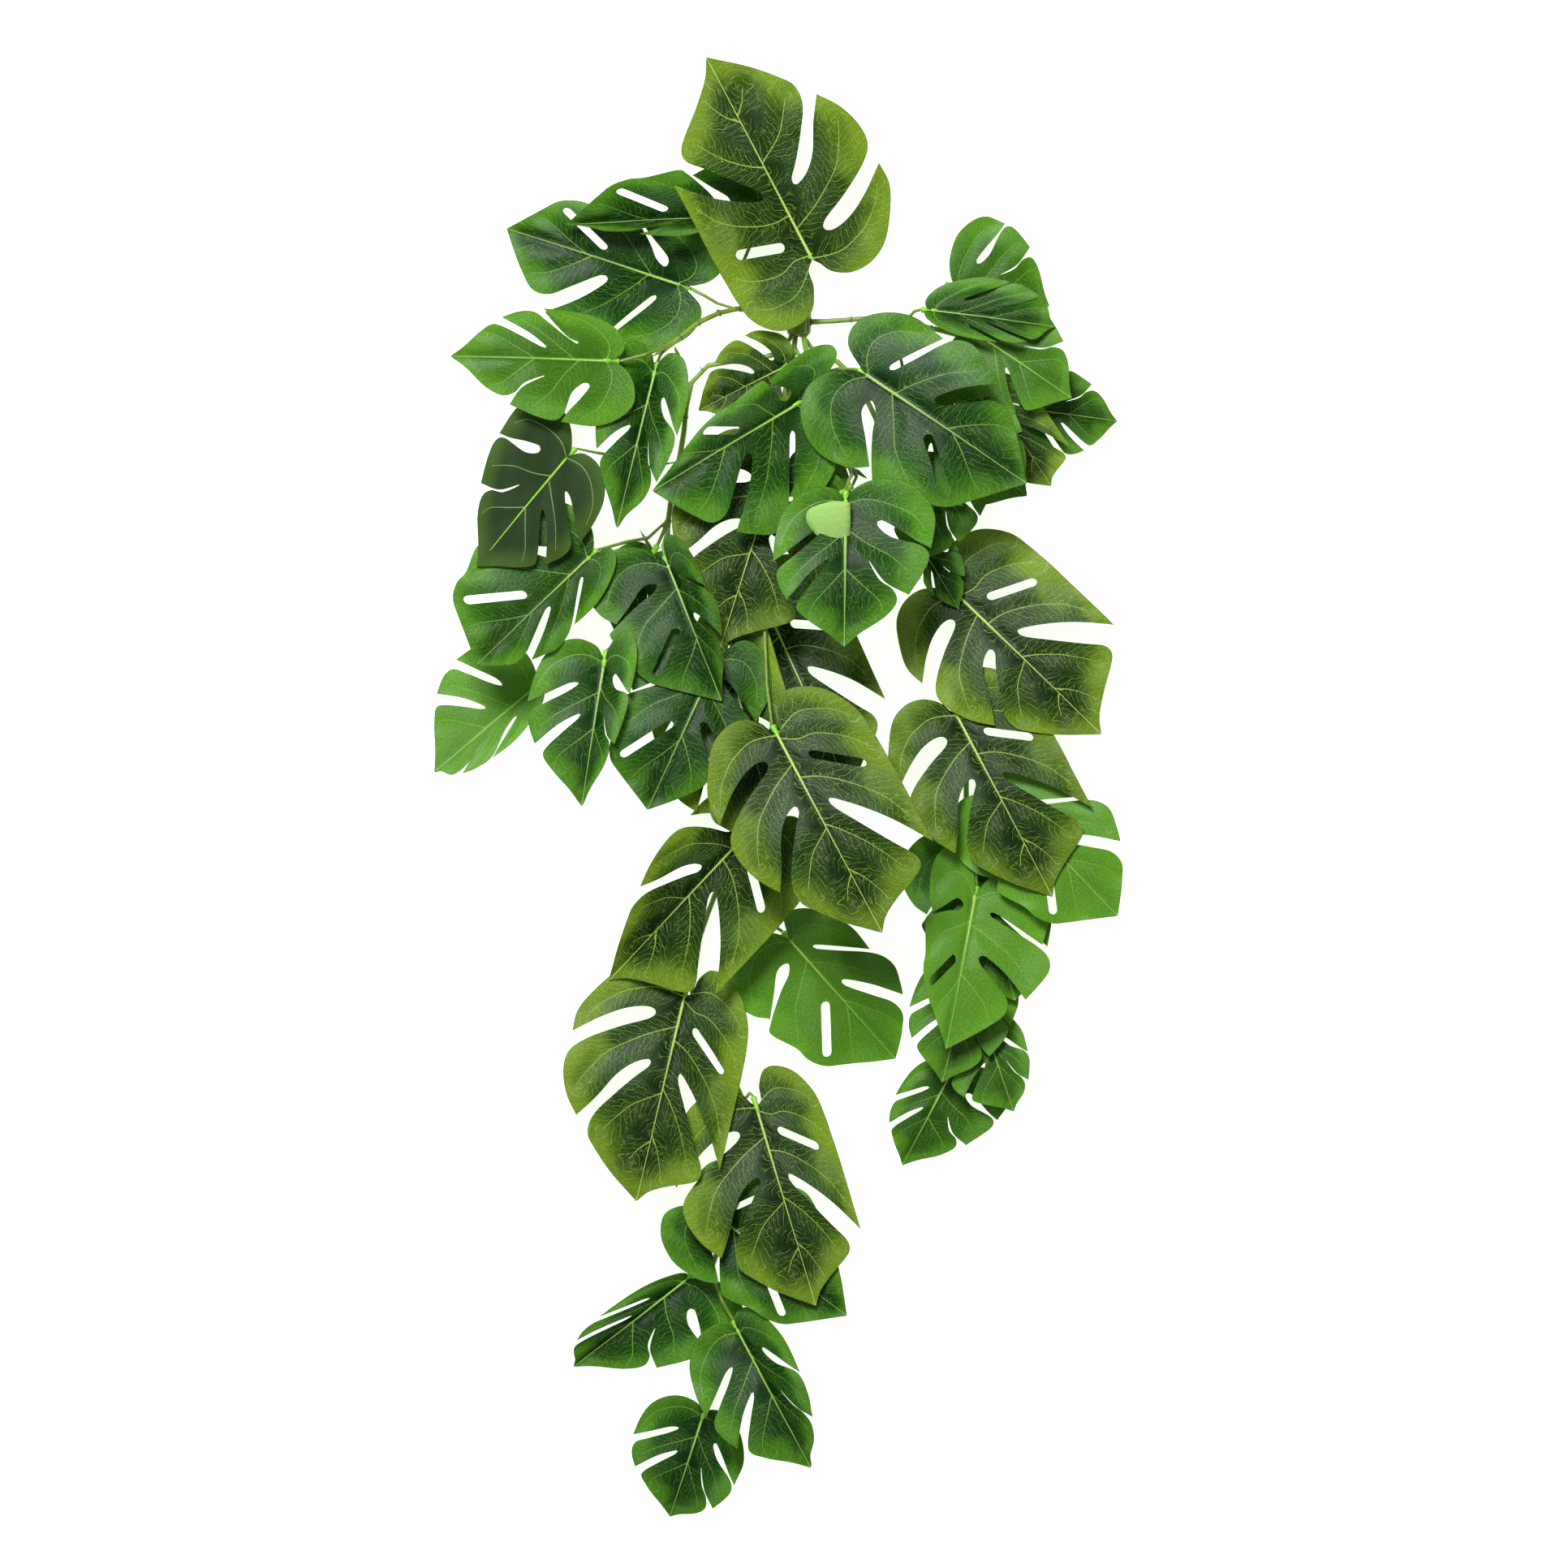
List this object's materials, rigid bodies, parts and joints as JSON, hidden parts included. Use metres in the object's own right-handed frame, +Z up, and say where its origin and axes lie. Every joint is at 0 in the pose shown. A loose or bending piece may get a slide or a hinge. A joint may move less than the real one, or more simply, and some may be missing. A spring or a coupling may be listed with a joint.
{
  "type": "artificial hanging monstera spray",
  "caption": "Artificial monstera spray with split and slotted fabric leaves on trailing plastic vines that leave one crown, laid face up on a flat surface.",
  "frame": {"origin": "the middle of the spray in plan, on the surface that it lies on", "axes": "+Y from the trailing ends to the crown, +Z up from the surface, +X to the right as seen from above with the crown away"},
  "size_m": [0.4029, 0.856, 0.0848],
  "materials": {
    "leaf_olive": "printed satin fabric, dark centre, yellow-green margin, pale net of veins",
    "leaf_green": "printed satin fabric, saturated green with a grey speckle and pale veins",
    "stem": "moulded olive green plastic with brown edges, brighter at the collars"
  },
  "bodies": {
    "root": {"leaf_long_12": "leaf_green", "leaf_long_10": "leaf_green", "leaf_long_11": "leaf_green", "leaf_long_9": "leaf_green", "leaf_long_8": "leaf_olive", "leaf_long_6": "leaf_green", "leaf_long_7": "leaf_olive", "leaf_long_5": "leaf_olive", "leaf_lower_right_10": "leaf_green", "leaf_lower_right_9": "leaf_green", "leaf_lower_right_8": "leaf_green", "leaf_lower_right_6": "leaf_green", "leaf_lower_right_7": "leaf_green", "leaf_lower_right_5": "leaf_green", "leaf_lower_right_4": "leaf_olive", "leaf_lower_right_3": "leaf_olive", "leaf_long_2": "leaf_olive", "leaf_long_3": "leaf_olive", "leaf_lower_left_9": "leaf_green", "leaf_long_4": "leaf_olive", "leaf_long_1": "leaf_olive", "leaf_lower_left_4": "leaf_green", "leaf_lower_left_8": "leaf_green", "leaf_lower_left_6": "leaf_green", "leaf_lower_left_7": "leaf_green", "leaf_lower_left_5": "leaf_green", "leaf_lower_left_2": "leaf_green", "leaf_upper_left_1": "leaf_green", "leaf_upper_left_4": "leaf_green", "leaf_upper_left_3": "leaf_green", "leaf_lower_right_2": "leaf_green", "leaf_lower_right_1": "leaf_green", "leaf_upper_right_5": "leaf_green", "leaf_upper_right_4": "leaf_olive", "leaf_upper_right_1": "leaf_green", "leaf_upper_right_3": "leaf_green", "leaf_upper_right_2": "leaf_green", "leaf_upper_right_6": "leaf_green", "leaf_long_0": "leaf_olive", "leaf_short_4": "leaf_green", "leaf_short_1": "leaf_green", "leaf_short_2": "leaf_green", "leaf_short_3": "leaf_green", "leaf_upper_left_2": "leaf_green", "leaf_crown_1": "leaf_olive", "crown": "stem", "vine_upper_left": "stem", "vine_lower_left": "stem", "vine_long": "stem", "vine_short": "stem", "vine_lower_right": "stem", "vine_upper_right": "stem"}
  },
  "joints": []
}
